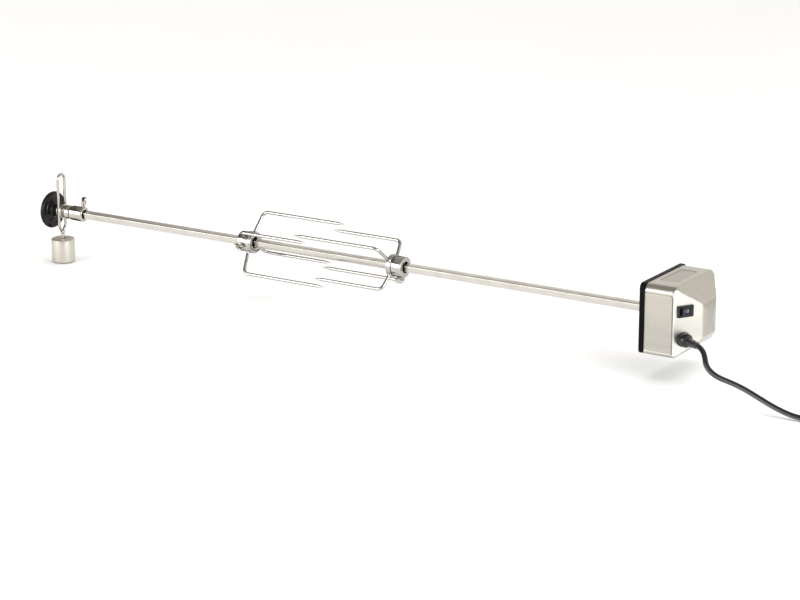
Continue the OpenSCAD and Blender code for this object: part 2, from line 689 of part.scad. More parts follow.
// Knob with its clamping boss towards the motor and a domed grip outside
module knob() color(black) difference() {
    turned([[-992, 0], [-991.6, 6], [-990.4, 12], [-988.6, 18], [-986.6, 23], [-984.9, 26],
        [-983.2, knob_r], [-981.4, knob_r], [-979.8, 26.2], [-979, 24.6], [-979, 20], [-980, 19.4],
        [-980, 18], [-979.2, 17.4], [-979.2, 12.4], [-978.6, 10.4], [-977, 8.6], [-971, 8],
        [-970, 7.2], [-970, 0]]);
    round_x(-988, 20, insert_r);
}
module knob_insert() color(brass) difference() {
    turned([[-988, 0], [-988, insert_r], [-969.8, insert_r], [-969.8, 0]]);
    round_x(-987.6, 20, stud_r + gap);
}

mounting_plate();
clinch_nuts();
motor_cover();
cover_screws();
gear_plate_front();
gear_plate_rear();
gear_spacers();
frame_screws();
gear_pins();
spindle_bushing();
drive_spindle();
output_gear();
spindle_clip();
second_gear();
first_gear();
rotor_shaft();
rotor_core();
rotor_pinion();
cooling_fan();
stator_core();
coil_bobbin();
motor_coil();
stator_bolts();
rotor_bracket();
switch_body();
switch_rocker();
terminal_block();
lead_wires();
cord_gland();
gland_nut();
strain_relief();
power_cord();
cord_coil();
cord_tail();
cord_tie();
plug_body();
plug_pins();
spit_bar();
support_bushing();
bushing_thumbscrew();
fork_a_hub();
fork_a_long_tines();
fork_a_short_tines();
fork_a_thumbscrew();
fork_b_hub();
fork_b_long_tines();
fork_b_short_tines();
fork_b_thumbscrew();
clamp_washer();
weight_loop();
counterweight();
knob();
knob_insert();
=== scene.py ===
"""Looks of a motor-driven grill rotisserie kit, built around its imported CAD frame.

All lengths are in metres, in the frame of the CAD model: the origin is on the spit axis at the
motor's mounting face, +X runs out through the motor, the spit runs towards -X and +Z is up.
"""
import json
import math

import bmesh
import bpy
from mathutils import Matrix, Vector

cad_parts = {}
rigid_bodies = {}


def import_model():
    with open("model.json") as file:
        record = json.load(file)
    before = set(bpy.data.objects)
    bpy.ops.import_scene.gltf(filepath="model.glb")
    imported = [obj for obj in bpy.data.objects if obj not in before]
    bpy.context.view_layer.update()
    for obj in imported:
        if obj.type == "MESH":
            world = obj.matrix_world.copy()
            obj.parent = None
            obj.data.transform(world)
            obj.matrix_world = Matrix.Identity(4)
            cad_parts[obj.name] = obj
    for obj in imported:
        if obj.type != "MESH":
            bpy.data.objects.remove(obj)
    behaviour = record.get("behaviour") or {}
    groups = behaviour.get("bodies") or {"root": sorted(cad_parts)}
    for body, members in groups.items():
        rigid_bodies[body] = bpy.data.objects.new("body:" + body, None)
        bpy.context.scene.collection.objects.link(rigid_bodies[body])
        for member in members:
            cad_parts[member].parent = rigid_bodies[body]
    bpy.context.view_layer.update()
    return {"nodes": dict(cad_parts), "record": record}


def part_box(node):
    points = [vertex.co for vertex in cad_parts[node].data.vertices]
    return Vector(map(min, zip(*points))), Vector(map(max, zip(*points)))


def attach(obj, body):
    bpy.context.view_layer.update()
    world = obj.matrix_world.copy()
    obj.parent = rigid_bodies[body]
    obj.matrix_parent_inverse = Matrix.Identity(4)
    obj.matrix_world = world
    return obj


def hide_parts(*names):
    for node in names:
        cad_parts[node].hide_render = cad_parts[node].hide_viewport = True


for leftover in list(bpy.data.objects):
    bpy.data.objects.remove(leftover)
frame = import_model()
NODES = frame["nodes"]
MM = 0.001

# ---------------------------------------------------------------- camera

VIEW_AZIMUTH = math.radians(32.17)
VIEW_ELEVATION = math.radians(15.93)
VIEW_DISTANCE = 3.5017
VIEW_TARGET = Vector((-0.38735, 0.0, -0.04645))
LENS_MM = 117.57


def make_camera():
    """The photo's viewpoint: a long lens, a little above and to the right."""
    back = Vector((math.sin(VIEW_AZIMUTH) * math.cos(VIEW_ELEVATION),
                   -math.cos(VIEW_AZIMUTH) * math.cos(VIEW_ELEVATION), math.sin(VIEW_ELEVATION)))
    data = bpy.data.cameras.new("camera")
    data.lens = LENS_MM
    data.clip_start = 0.05
    data.clip_end = 60
    camera = bpy.data.objects.new("camera", data)
    camera.location = VIEW_TARGET + back * VIEW_DISTANCE
    camera.rotation_mode = "QUATERNION"
    camera.rotation_quaternion = (-back).to_track_quat("-Z", "Y")
    bpy.context.scene.collection.objects.link(camera)
    bpy.context.scene.camera = camera


make_camera()

# ---------------------------------------------------------------- mesh tools


def smoothed(mesh, angle=35):
    """Smooth shading, with edges sharper than the angle kept sharp."""
    mesh.polygons.foreach_set("use_smooth", [True] * len(mesh.polygons))
    mesh.set_sharp_from_angle(angle=math.radians(angle))


def add_mesh(name, points, faces, material=None, angle=35, outward=True, marks=None):
    """A new object from points and faces; marks holds values to store with the points."""
    mesh = bpy.data.meshes.new(name)
    mesh.from_pydata([tuple(p) for p in points], [], faces)
    for mark, values in (marks or {}).items():
        mesh.attributes.new(mark, "FLOAT", "POINT").data.foreach_set("value", values)
    if outward:
        bm = bmesh.new()
        bm.from_mesh(mesh)
        bmesh.ops.remove_doubles(bm, verts=bm.verts, dist=1e-7)
        bmesh.ops.recalc_face_normals(bm, faces=bm.faces)
        bm.to_mesh(mesh)
        bm.free()
    smoothed(mesh, angle)
    obj = bpy.data.objects.new(name, mesh)
    bpy.context.scene.collection.objects.link(obj)
    if material:
        mesh.materials.append(material)
    return obj


def place(obj, body, slot, *stands_for):
    """Lets a piece ride on a body and hides the CAD nodes that it stands for; slot, its finish, is not
    used.
    """
    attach(obj, body)
    if stands_for:
        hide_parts(*stands_for)
    return obj


def catmull(points, steps):
    """Points of a smooth curve through points of any length, steps to each stretch."""
    out = []
    last = len(points) - 1
    for i in range(last):
        a, b, c, d = (Vector(points[k]) for k in (max(i - 1, 0), i, i + 1, min(i + 2, last)))
        for k in range(steps):
            t = k / steps
            out.append(0.5 * (2 * b + t * (c - a) + t * t * (2 * a - 5 * b + 4 * c - d)
                              + t * t * t * (3 * b - a - 3 * c + d)))
    return out + [Vector(points[last])]


def lathe(name, profile, origin, axis, material, turns=96, angle=35, closed=False):
    """A turned piece: profile holds (distance along the axis, radius); closed joins its two ends."""
    axis = Vector(axis).normalized()
    side = axis.orthogonal().normalized()
    up = axis.cross(side)
    points, faces = [], []
    for along, radius in profile:
        for k in range(turns):
            a = 2 * math.pi * k / turns
            points.append(Vector(origin) + axis * along
                          + (side * math.cos(a) + up * math.sin(a)) * max(radius, 0.0))
    size = len(profile)
    for i in range(size if closed else size - 1):
        j = (i + 1) % size
        for k in range(turns):
            m = (k + 1) % turns
            faces.append((i * turns + k, i * turns + m, j * turns + m, j * turns + k))
    for ring in () if closed else (0, size - 1):
        if profile[ring][1] > 1e-6:
            faces.append(tuple(range(ring * turns, (ring + 1) * turns)))
    return add_mesh(name, points, faces, material, angle)


def sweep(name, path, radii, material, sides=24, angle=50, closed=False):
    """A tube along a path of points; radii is one radius or one for each point."""
    path = [Vector(p) for p in path]
    count = len(path)
    if not hasattr(radii, "__len__"):
        radii = [radii] * count
    points, faces, across = [], [], None
    for i, p in enumerate(path):
        before = path[i - 1] if i or closed else p
        after = path[(i + 1) % count] if i + 1 < count or closed else p
        along = (after - before).normalized()
        across = along.orthogonal() if across is None else across - along * across.dot(along)
        across.normalize()
        other = along.cross(across)
        for k in range(sides):
            a = 2 * math.pi * k / sides
            points.append(p + (across * math.cos(a) + other * math.sin(a)) * radii[i])
    for i in range(count if closed else count - 1):
        j = (i + 1) % count
        for k in range(sides):
            m = (k + 1) % sides
            faces.append((i * sides + k, i * sides + m, j * sides + m, j * sides + k))
    if not closed:
        faces.append(tuple(range(sides)))
        faces.append(tuple(range((count - 1) * sides, count * sides)))
    return add_mesh(name, points, faces, material, angle)


def rounded_profile(corners, steps=5):
    """(along, radius) points of a turned outline; each corner is (along, radius, rounding)."""
    out = []
    for i, (along, radius, rounding) in enumerate(corners):
        here = Vector((along, radius))
        if not rounding or i in (0, len(corners) - 1):
            out.append((along, radius))
            continue
        to_last = Vector(corners[i - 1][:2]) - here
        to_next = Vector(corners[i + 1][:2]) - here
        reach = min(rounding, to_last.length * 0.49, to_next.length * 0.49)
        a, b = here + to_last.normalized() * reach, here + to_next.normalized() * reach
        for k in range(steps + 1):
            t = k / steps
            p = a * (1 - t) ** 2 + here * 2 * t * (1 - t) + b * t * t
            out.append((p.x, p.y))
    return out


def soften(node, width, segments=3, angle=32):
    """Rounds the edges of a CAD node as shown, without touching its mesh."""
    obj = NODES[node]
    weld = obj.modifiers.new("weld", "WELD")
    weld.merge_threshold = 1e-6
    flat = obj.modifiers.new("flat", "DECIMATE")
    flat.decimate_type = "DISSOLVE"
    flat.angle_limit = math.radians(0.8)
    edge = obj.modifiers.new("edge", "BEVEL")
    edge.width = width
    edge.segments = segments
    edge.limit_method = "ANGLE"
    edge.angle_limit = math.radians(angle)
    edge.harden_normals = True
    edge.use_clamp_overlap = True


# ---------------------------------------------------------------- materials


class Finish:
    """One node material under construction."""

    def __init__(self, name, colour, rough, metal=0.0):
        self.material = bpy.data.materials.new(name)
        self.material.use_nodes = True
        self.tree = self.material.node_tree
        self.shader = self.tree.nodes["Principled BSDF"]
        self.colour = tuple(colour)
        self.shader.inputs["Base Color"].default_value = (*colour, 1)
        self.shader.inputs["Roughness"].default_value = rough
        self.shader.inputs["Metallic"].default_value = metal
        self.rough = rough
        coords = self.tree.nodes.new("ShaderNodeTexCoord")
        self.place = coords.outputs["Object"]
        self.height = None

    def node(self, kind, inputs=None, **settings):
        made = self.tree.nodes.new("ShaderNode" + kind)
        for key, value in settings.items():
            setattr(made, key, value)
        for key, value in (inputs or {}).items():
            if isinstance(value, bpy.types.NodeSocket):
                self.tree.links.new(value, made.inputs[key])
            else:
                made.inputs[key].default_value = value
        return made

    def stretched(self, scale):
        """Object coordinates scaled along each axis."""
        return self.node("Mapping", {"Vector": self.place, "Scale": scale}).outputs["Vector"]

    def noise(self, scale, detail=3.0, rough=0.55, stretch=None):
        """Noise with about scale features to a metre, stretched if asked."""
        if stretch:
            place, scale = self.stretched([scale * s for s in stretch]), 1.0
        else:
            place = self.place
        made = self.node("TexNoise", {"Vector": place, "Scale": scale, "Detail": detail,
                                      "Roughness": rough})
        return made.outputs["Fac"]

    def remap(self, value, low, high, start=0.3, end=0.7):
        """value from start to end turned into low to high."""
        made = self.node("MapRange", {"Value": value, "From Min": start, "From Max": end,
                                      "To Min": low, "To Max": high})
        return made.outputs["Result"]

    def maths(self, operation, a, b):
        return self.node("Math", {0: a, 1: b}, operation=operation).outputs[0]

    def vary_rough(self, value, low, high, start=0.3, end=0.7):
        self.tree.links.new(self.remap(value, low, high, start, end), self.shader.inputs["Roughness"])

    def vary_colour(self, value, other, start=0.35, end=0.65):
        """Mixes the colour so far with another where value is high."""
        socket = self.shader.inputs["Base Color"]
        now = socket.links[0].from_socket if socket.is_linked else (*self.colour, 1)
        mix = self.node("Mix", {6: now, 7: (*other, 1)}, data_type="RGBA")
        self.tree.links.new(self.remap(value, 0, 1, start, end), mix.inputs[0])
        self.tree.links.new(mix.outputs[2], socket)

    def bump(self, value, strength, depth):
        """Adds one more layer of relief, depth metres from low to high."""
        inputs = {"Height": value, "Strength": strength, "Distance": depth}
        if self.height:
            inputs["Normal"] = self.height
        self.height = self.node("Bump", inputs).outputs["Normal"]
        self.tree.links.new(self.height, self.shader.inputs["Normal"])

    def edges(self, start=0.52, end=0.6):
        """1 on worn outer edges, 0 elsewhere."""
        pointy = self.node("NewGeometry").outputs["Pointiness"]
        return self.remap(pointy, 0, 1, start, end)


def brushed_sheet(name, colour, rough, along):
    """Stainless sheet with a straight grain; along is the share of detail left on each axis."""
    f = Finish(name, colour, rough, metal=1.0)
    fine = f.noise(1500, 4, 0.6, stretch=along)
    broad = f.noise(180, 3, 0.6, stretch=along)
    cloud = f.noise(22, 3, 0.5)
    f.vary_colour(broad, [c * 0.9 for c in colour], 0.45, 0.8)
    f.vary_colour(cloud, [c * w for c, w in zip(colour, (1.06, 1.05, 1.02))], 0.45, 0.75)
    mixed = f.maths("ADD", f.maths("MULTIPLY", fine, 0.6), f.maths("MULTIPLY", cloud, 0.4))
    f.vary_rough(mixed, rough - 0.07, rough + 0.09, 0.35, 0.65)
    # painted shade: the sheet is darkened where the mark stored with the cover's points is high, along the
    # pressed grooves, in the rib recesses and over the outer panel
    shade_share = f.node("Attribute", attribute_name="painted_shade").outputs["Fac"]
    f.vary_colour(f.maths("MULTIPLY", shade_share, f.remap(cloud, 0.75, 1.0)), (0.05, 0.046, 0.038), 0.1, 1.0)
    f.bump(broad, 0.15, 0.00006)
    f.bump(fine, 0.35, 0.00004)
    return f.material


EDGE_TINT = (0.06, 0.058, 0.054, 1)  # of bright plate at grazing angles, which keeps outlines dark


def plated(name, colour, rough, grain=0.25):
    """Bright plate: soft smears, faint haze and a few hairline scratches."""
    f = Finish(name, colour, rough, metal=1.0)
    smear = f.noise(60, 4, 0.6)
    fine = f.noise(900, 2, 0.5)
    f.vary_colour(smear, [c * w for c, w in zip(colour, (0.93, 0.91, 0.87))], 0.45, 0.75)
    f.vary_rough(smear, rough * 0.75, rough * 1.5, 0.35, 0.7)
    f.bump(f.noise(35, 2, 0.4), 0.05, 0.0002)
    f.bump(fine, grain, 0.000005)
    f.shader.inputs["Specular Tint"].default_value = EDGE_TINT
    return f.material


def machined(name, colour, rough, axis, pitch=0.0006, relief=0.3):
    """Turned or milled steel with tool marks that follow the given axis."""
    f = Finish(name, colour, rough, metal=1.0)
    stretch = [1.0 if a else 0.04 for a in axis]
    marks = f.noise(1 / pitch, 3, 0.6, stretch=stretch)
    cloud = f.noise(45, 3, 0.55)
    f.vary_colour(cloud, [c * w for c, w in zip(colour, (0.9, 0.88, 0.85))], 0.45, 0.75)
    f.vary_rough(f.maths("ADD", f.maths("MULTIPLY", marks, 0.5), f.maths("MULTIPLY", cloud, 0.5)),
                 rough - 0.08, rough + 0.1, 0.35, 0.65)
    f.bump(marks, relief, 0.00004)
    return f.material


def zinc_plate(name):
    """Zinc-plated steel, slightly blue with a faint yellow bloom."""
    colour = (0.6, 0.61, 0.62)
    f = Finish(name, colour, 0.34, metal=1.0)
    bloom = f.noise(120, 4, 0.6)
    spangle = f.node("TexVoronoi", {"Vector": f.place, "Scale": 700.0}).outputs["Distance"]
    f.vary_colour(bloom, (0.62, 0.58, 0.47), 0.5, 0.8)
    f.vary_rough(spangle, 0.26, 0.44, 0.1, 0.7)
    f.bump(spangle, 0.15, 0.00002)
    return f.material


def powder_coat(name, colour):
    """Satin black powder coat with an orange-peel skin, rubbed brighter along its edges."""
    f = Finish(name, colour, 0.42)
    peel = f.noise(900, 3, 0.5)
    dust = f.noise(40, 4, 0.6)
    f.vary_colour(dust, [c * 1.5 + 0.001 for c in colour], 0.5, 0.8)
    f.vary_colour(f.edges(0.54, 0.66), (0.016, 0.016, 0.015), 0, 1)
    f.vary_rough(dust, 0.36, 0.5, 0.35, 0.7)
    f.bump(peel, 0.3, 0.00005)
    f.shader.inputs["Specular IOR Level"].default_value = 0.06
    return f.material


def moulded(name, colour, rough=0.38, grain=0.25, wear=None, grain_scale=1600, shine=0.5):
    """Moulded plastic: fine spark-eroded grain, uneven sheen and rubbed edges."""
    f = Finish(name, colour, rough)
    fine = f.noise(grain_scale, 2, 0.6)
    flow = f.noise(30, 3, 0.5)
    f.vary_colour(flow, [c * 1.35 + 0.003 for c in colour], 0.5, 0.8)
    f.vary_colour(f.edges(), wear or [min(c * 2 + 0.02, 1) for c in colour], 0, 1)
    f.vary_rough(flow, rough - 0.08, rough + 0.1, 0.35, 0.7)
    f.bump(fine, grain, 0.00004)
    f.shader.inputs["Specular IOR Level"].default_value = shine
    return f.material


def phenolic(name):
    """Black phenolic resin: polished skin with faint flow marks and turning rings."""
    colour = (0.006, 0.0055, 0.0055)
    f = Finish(name, colour, 0.14)
    flow = f.noise(45, 4, 0.6)
    speck = f.noise(2500, 2, 0.5)
    f.vary_colour(flow, (0.011, 0.010, 0.009), 0.45, 0.75)
    f.vary_colour(f.edges(0.54, 0.66), (0.03, 0.027, 0.025), 0, 1)
    f.vary_rough(flow, 0.08, 0.17, 0.35, 0.7)
    f.bump(f.noise(70, 3, 0.5), 0.05, 0.0002)
    f.bump(speck, 0.08, 0.00001)
    f.shader.inputs["Specular IOR Level"].default_value = 0.22
    return f.material


def cord_jacket(name):
    """Glossy vinyl jacket with long drawing lines and a little dust."""
    colour = (0.008, 0.008, 0.008)
    f = Finish(name, colour, 0.24)
    lines = f.noise(1400, 3, 0.6)
    dust = f.noise(90, 5, 0.65)
    f.vary_colour(dust, (0.022, 0.021, 0.019), 0.52, 0.8)
    f.vary_rough(dust, 0.13, 0.28, 0.35, 0.7)
    f.bump(f.noise(160, 3, 0.5), 0.2, 0.00012)
    f.bump(lines, 0.15, 0.00002)
    f.shader.inputs["Specular IOR Level"].default_value = 0.6
    return f.material


def laminations(name):
    """A stack of varnished steel laminations, one every half millimetre along X."""
    colour = (0.13, 0.125, 0.12)
    f = Finish(name, colour, 0.42, metal=0.85)
    layers = f.node("TexWave", {"Vector": f.place, "Scale": 320.0, "Distortion": 0.3, "Detail": 1.0},
                    bands_direction="X").outputs["Fac"]
    varnish = f.noise(60, 4, 0.6)
    f.vary_colour(layers, (0.3, 0.29, 0.28), 0.5, 1.0)
    f.vary_colour(varnish, (0.11, 0.075, 0.045), 0.5, 0.8)
    f.vary_rough(varnish, 0.3, 0.55, 0.35, 0.7)
    f.bump(layers, 0.5, 0.0001)
    return f.material


def windings(name):
    """Enamelled copper wire wound round the coil's Y axis."""
    colour = (0.5, 0.17, 0.06)
    f = Finish(name, colour, 0.3, metal=1.0)
    wires = f.node("TexWave", {"Vector": f.place, "Scale": 500.0, "Distortion": 0.6, "Detail": 2.0,
                               "Detail Scale": 0.6}, bands_direction="Y").outputs["Fac"]
    f.vary_colour(wires, (0.16, 0.05, 0.02), 0.0, 0.45)
    f.vary_rough(wires, 0.24, 0.45, 0.2, 0.9)
    f.bump(wires, 0.8, 0.0002)
    return f.material


def stage_paint(name, colour):
    """Matt, almost even paint for the floor."""
    f = Finish(name, colour, 0.9)
    cloud = f.noise(1.5, 2, 0.5)
    f.vary_colour(cloud, [c * 0.985 for c in colour], 0.4, 0.7)
    f.shader.inputs["Specular IOR Level"].default_value = 0.1
    return f.material


# Reflectances of the bright metals
STEEL = (0.47, 0.445, 0.40)
NICKEL = (0.65, 0.63, 0.58)
CHROME = (0.52, 0.505, 0.48)
FINISHES = {
    "mark_white": moulded("mark_white", (0.3, 0.3, 0.31), 0.5, 0.1, wear=(0.35, 0.35, 0.35)),
    "plate_black": powder_coat("plate_black", (0.003, 0.003, 0.003)),
    "cover_steel": brushed_sheet("cover_steel", STEEL, 0.3, (0.03, 1.0, 1.0)),
    "zinc_steel": zinc_plate("zinc_steel"),
    "gear_steel": machined("gear_steel", (0.5, 0.49, 0.47), 0.32, (1, 0, 0)),
    "bearing_brass": machined("bearing_brass", (0.56, 0.36, 0.13), 0.34, (1, 0, 0)),
    "gear_nylon": moulded("gear_nylon", (0.72, 0.68, 0.56), 0.42, 0.15, wear=(0.8, 0.77, 0.68)),
    "core_steel": laminations("core_steel"),
    "fan_plastic": moulded("fan_plastic", (0.035, 0.035, 0.038)),
    "coil_copper": windings("coil_copper"),
    "switch_black": moulded("switch_black", (0.005, 0.005, 0.006), 0.3, 0.2,
                            wear=(0.016, 0.016, 0.018), shine=0.22),
    "wire_insulation": moulded("wire_insulation", (0.35, 0.03, 0.025), 0.4, 0.15),
    "gland_nylon": moulded("gland_nylon", (0.006, 0.006, 0.006), 0.14, 0.06, wear=(0.02, 0.02, 0.02)),
    "cord_rubber": cord_jacket("cord_rubber"),
    "tie_plastic": moulded("tie_plastic", (0.02, 0.02, 0.021), 0.45, 0.3),
    "contact_brass": machined("contact_brass", (0.62, 0.44, 0.18), 0.3, (1, 0, 0)),
    "bar_steel": machined("bar_steel", NICKEL, 0.2, (0, 1, 1), 0.0012, 0.08),
    "fork_chrome": plated("fork_chrome", CHROME, 0.07),
    "trim_chrome": plated("trim_chrome", (0.55, 0.52, 0.475), 0.05, 0.12),
    "weight_steel": machined("weight_steel", (0.6, 0.57, 0.51), 0.4, (0, 0, 1), 0.0008),
    "knob_black": phenolic("knob_black"),
}
for entry in frame["record"]["subparts"]:
    node = NODES[entry["node"]]
    node.data.materials.clear()
    node.data.materials.append(FINISHES[entry["material_slot"]])

# ---------------------------------------------------------------- supply cord

CORD_D = 0.007
FLOOR_Z = -0.0755
# Middle of the gland's seat in the slanted panel, and the way out of the panel
GLAND_AT = Vector((0.053553, -0.043640, -0.0192))
GLAND_OUT = Vector((0.856448, -0.516232, 0.0))
GLAND_LENGTH = 0.013
# The coil: its middle on the floor, and the radius and height of each turn
COIL_AT = Vector((0.312, -0.050, 0.0))
COIL_RADII = (0.047, 0.040, 0.033, 0.033, 0.040, 0.047)
COIL_Z = (-0.0712, -0.0712, -0.0712, -0.0642, -0.0642, -0.0642)
COIL_TURNS = 5.5
STEP_OVER = 0.16  # share of a turn in which the cord moves over to the next
CORD_ROUTE = [
    (0.0818, -0.0607, -0.0192), (0.0887, -0.0653, -0.0203), (0.0947, -0.0702, -0.0235),
    (0.0993, -0.0749, -0.0286), (0.1024, -0.0788, -0.0335), (0.1082, -0.0827, -0.0388),
    (0.1168, -0.0859, -0.043), (0.1269, -0.0885, -0.0456), (0.1383, -0.091, -0.0472),
    (0.150, -0.0937, -0.0488), (0.162, -0.0966, -0.0511), (0.174, -0.0994, -0.0542),
    (0.187, -0.1021, -0.0581), (0.200, -0.1042, -0.0622), (0.213, -0.1056, -0.066),
    (0.226, -0.1062, -0.0691), (0.239, -0.106, -0.0710), (0.252, -0.105, -0.0717),
    (0.264, -0.1034, -0.0718), (0.276, -0.1013, -0.0717), (0.288, -0.0991, -0.0715),
    (0.300, -0.0975, -0.0713)]
TAIL_ROUTE = [(0.303, -0.003, -0.064), (0.295, -0.0015, -0.064), (0.287, 0.0, -0.064),
              (0.279, 0.0, -0.064), (0.270, 0.0, -0.064)]
PLUG_AT = Vector((0.279, 0.0, -0.064))


def gland_point(height):
    """Point on the gland's axis at a height above the panel."""
    return GLAND_AT + GLAND_OUT * height


def ease(t):
    """t held between 0 and 1, with a smooth start and end."""
    t = min(max(t, 0.0), 1.0)
    return t * t * (3 - 2 * t)


def coil_points(per_turn=40):
    """Turns wound inwards on the floor and outwards on top, each a cord's width from the last."""
    points = []
    for k in range(int(COIL_TURNS * per_turn) + 1):
        turn = min(int(k / per_turn), len(COIL_RADII) - 1)
        into = k / per_turn - turn
        after = min(turn + 1, len(COIL_RADII) - 1)
        share = ease((into - 1 + STEP_OVER) / STEP_OVER)
        radius = COIL_RADII[turn] + (COIL_RADII[after] - COIL_RADII[turn]) * share
        height = COIL_Z[turn] + (COIL_Z[after] - COIL_Z[turn]) * share
        a = 2 * math.pi * k / per_turn - math.pi / 2
        points.append(COIL_AT + Vector((radius * math.cos(a), radius * math.sin(a), height)))
    return points


def make_cord():
    """The cord from its gland through the coil to the plug, and its length."""
    way = catmull([gland_point(h) for h in (0.0, GLAND_LENGTH, 0.024)] + CORD_ROUTE, 4)[:-1]
    way += catmull([CORD_ROUTE[-1], coil_points()[0]], 3)[:-1]
    way += coil_points()
    way += catmull(TAIL_ROUTE, 3)
    curve = bpy.data.curves.new("supply_cord", "CURVE")
    curve.dimensions = "3D"
    curve.bevel_depth = CORD_D / 2
    curve.bevel_resolution = 6
    curve.use_fill_caps = True
    line = curve.splines.new("POLY")
    line.points.add(len(way) - 1)
    for point, p in zip(line.points, way):
        point.co = (*p, 1)
    line.use_smooth = True
    curve.materials.append(FINISHES["cord_rubber"])
    cord = bpy.data.objects.new("supply_cord", curve)
    bpy.context.scene.collection.objects.link(cord)
    place(cord, "motor_unit", "cord_rubber", "power_cord", "cord_coil", "cord_tail")
    return cord, sum((b - a).length for a, b in zip(way, way[1:]))


# ---------------------------------------------------------------- motor housing

COVER_LOW, COVER_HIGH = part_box("motor_cover")
PANEL_Y = 0.0205  # half the width of the outer panel
PANEL_Z = 0.023  # half its height
SIDE_END = COVER_LOW.x + 0.040  # end of the straight sides
SLANT_END = COVER_LOW.x + 0.062  # end of the slanted panels
LOW_SLANT_START = SIDE_END + 0.002
EDGE_SOFT = 0.0018  # reach of the rounding between two panels
SHEET = 0.001
FLAT_CORNER = (0.0400, 0.0330)  # (x, z) centre of the pressed side flat's corner
FLAT_RADIUS = 0.0045
FLAT_FADE = (-0.045, 0.008)  # where the side flat fades out above the lower edge, and over what height
MARK_CENTRE_X = 0.0245  # pressed panel on top
MARK_HALF = (0.0085, 0.0270)
MARK_RADIUS = 0.0028
RIB_PITCH = 0.006
SWITCH_AT = Vector((0.0546, -0.0418, 0.0166))
SWITCH_HOLE = (0.0088, 0.0062)  # half width and half height
GLAND_HOLE = (0.0055, 0.0055)
OUTER_PANEL_SHADE = 0.3  # share of painted shade spread evenly over the outer panel, to darken it against the slanted panels


def soft_min(a, b, k):
    """The lesser of a and b, rounded over where they differ by less than k."""
    h = max(k - abs(a - b), 0.0) / k
    return min(a, b) - h * h * k / 4


def cover_section(x):
    """(half width, bottom, top, lower and upper corner radius) of the cover at x."""
    def slant(full, cut, start):
        return soft_min(full, full - (full - cut) * (x - start) / (SLANT_END - start), EDGE_SOFT)
    ended = ease((x - SIDE_END + 0.001) / 0.006)
    return (slant(COVER_HIGH.y, PANEL_Y, SIDE_END), -slant(-COVER_LOW.z, PANEL_Z, LOW_SLANT_START),
            slant(COVER_HIGH.z, PANEL_Z, SIDE_END), 0.004 - 0.002 * ended, 0.010 - 0.0075 * ended)


def cover_stations():
    """Sections from the plate to the middle of the outer panel: x, then as cover_section gives them."""
    pitch = 0.0008
    count = int((SLANT_END - COVER_LOW.x) / pitch)
    places = [COVER_LOW.x + pitch * i for i in range(count - 1)]
    sections = [(x, *cover_section(x)) for x in places]
    last = sections[-1]
    rise = COVER_HIGH.x - SLANT_END

    def dome(s):
        x = SLANT_END + rise * (1 - s * s)
        return x, PANEL_Y * s, -PANEL_Z * s, PANEL_Z * s, 0.002 * s, 0.0025 * s

    corner, after = dome(1.0), dome(0.92)
    for k in range(1, 7):
        t = k / 6
        sections.append(tuple(a * (1 - t) ** 2 + b * 2 * t * (1 - t) + c * t * t
                              for a, b, c in zip(last, corner, after)))
    sections += [dome(s) for s in (0.86, 0.8, 0.72, 0.64, 0.56, 0.48, 0.4, 0.32, 0.24, 0.16, 0.08, 0.02)]
    return sections


def pressed_side(x, z):
    """Depth by which a side is pressed in and share of painted shade: a flat with a groove round its edge,
    the groove painted darker as shade.
    """
    from_corner = math.hypot(max(0.0, x - FLAT_CORNER[0]), max(0.0, z - FLAT_CORNER[1]))
    outside = from_corner - FLAT_RADIUS
    fade = ease((z - FLAT_FADE[0]) / FLAT_FADE[1])
    groove = math.exp(-(outside / 0.0008) ** 2) * fade
    # the groove also gives the share of painted shade, darkest along the groove
    return 0.0003 * ease(0.5 - outside / 0.001) * fade + 0.0004 * groove, groove


def pressed_top(x, y):
    """The same for the top: a ribbed recess, painted darker as shade round its edge and between its ribs.
    """
    across, along = abs(x - MARK_CENTRE_X) - MARK_HALF[0], abs(y) - MARK_HALF[1]
    reach = math.hypot(max(0.0, across), max(0.0, along)) - MARK_RADIUS
    inside = ease(0.5 - reach / 0.0016)
    ribs = 0.5 + 0.5 * math.cos(2 * math.pi * y / RIB_PITCH)
    # painted shade: darker round the recess's edge and in the valleys between its ribs
    shade_share = 0.6 * math.exp(-(reach / 0.0008) ** 2) + 0.4 * inside * (1 - ribs)
    return inside * (0.0007 - 0.0003 * ribs), shade_share


def pressed(p, flat):
    """A point of a flat stretch moved in by the pressing, and its share of painted shade."""
    if flat == "side":
        deep, shade_share = pressed_side(p.x, p.z)
        return p - Vector((0, math.copysign(deep, p.y), 0)), shade_share
    if flat == "top":
        deep, shade_share = pressed_top(p.x, p.y)
        return p - Vector((0, 0, deep)), shade_share
    return p, 0.0


